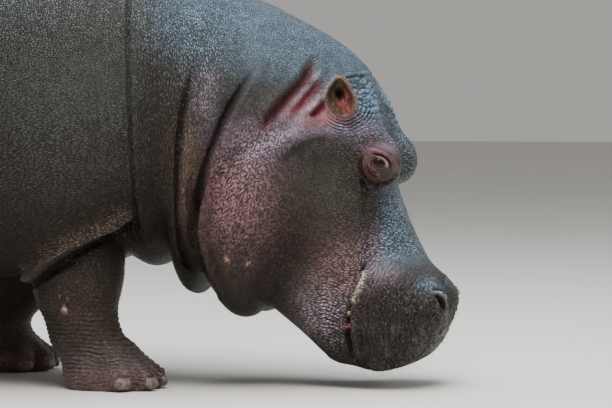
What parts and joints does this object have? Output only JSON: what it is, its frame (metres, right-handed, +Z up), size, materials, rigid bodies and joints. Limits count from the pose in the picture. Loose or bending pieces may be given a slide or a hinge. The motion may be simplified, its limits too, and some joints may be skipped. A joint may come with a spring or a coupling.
{
  "type": "hippopotamus",
  "caption": "Still life-size model of a grown common hippopotamus standing with its head lowered to graze, mouth closed, on stout legs with splayed toes.",
  "frame": {"origin": "on the floor, under the middle of the animal's length and width", "axes": "+X forward toward the head, +Y to the animal's left, +Z up"},
  "size_m": [2.5892, 1.1014, 1.2705],
  "materials": {
    "hide": "thick, finely wrinkled grey-brown hide with a dull damp sheen",
    "bare_skin": "thinner pinkish skin of the ears, sparsely bristled",
    "nail": "worn horn, pinkish grey",
    "eye": "wet dark brown eye"
  },
  "bodies": {
    "root": {"trunk": "hide", "neck": "hide", "head": "hide", "lower_jaw": "hide", "tail": "hide", "leg_fr": "hide", "leg_fl": "hide", "leg_hr": "hide", "leg_hl": "hide", "foot_fr": "hide", "foot_fl": "hide", "foot_hr": "hide", "foot_hl": "hide", "ear_l": "bare_skin", "ear_r": "bare_skin", "eye_l": "eye", "eye_r": "eye", "nail_fr_1": "nail", "nail_fr_2": "nail", "nail_fr_3": "nail", "nail_fr_4": "nail", "nail_fl_1": "nail", "nail_fl_2": "nail", "nail_fl_3": "nail", "nail_fl_4": "nail", "nail_hr_1": "nail", "nail_hr_2": "nail", "nail_hr_3": "nail", "nail_hr_4": "nail", "nail_hl_1": "nail", "nail_hl_2": "nail", "nail_hl_3": "nail", "nail_hl_4": "nail"}
  },
  "joints": []
}
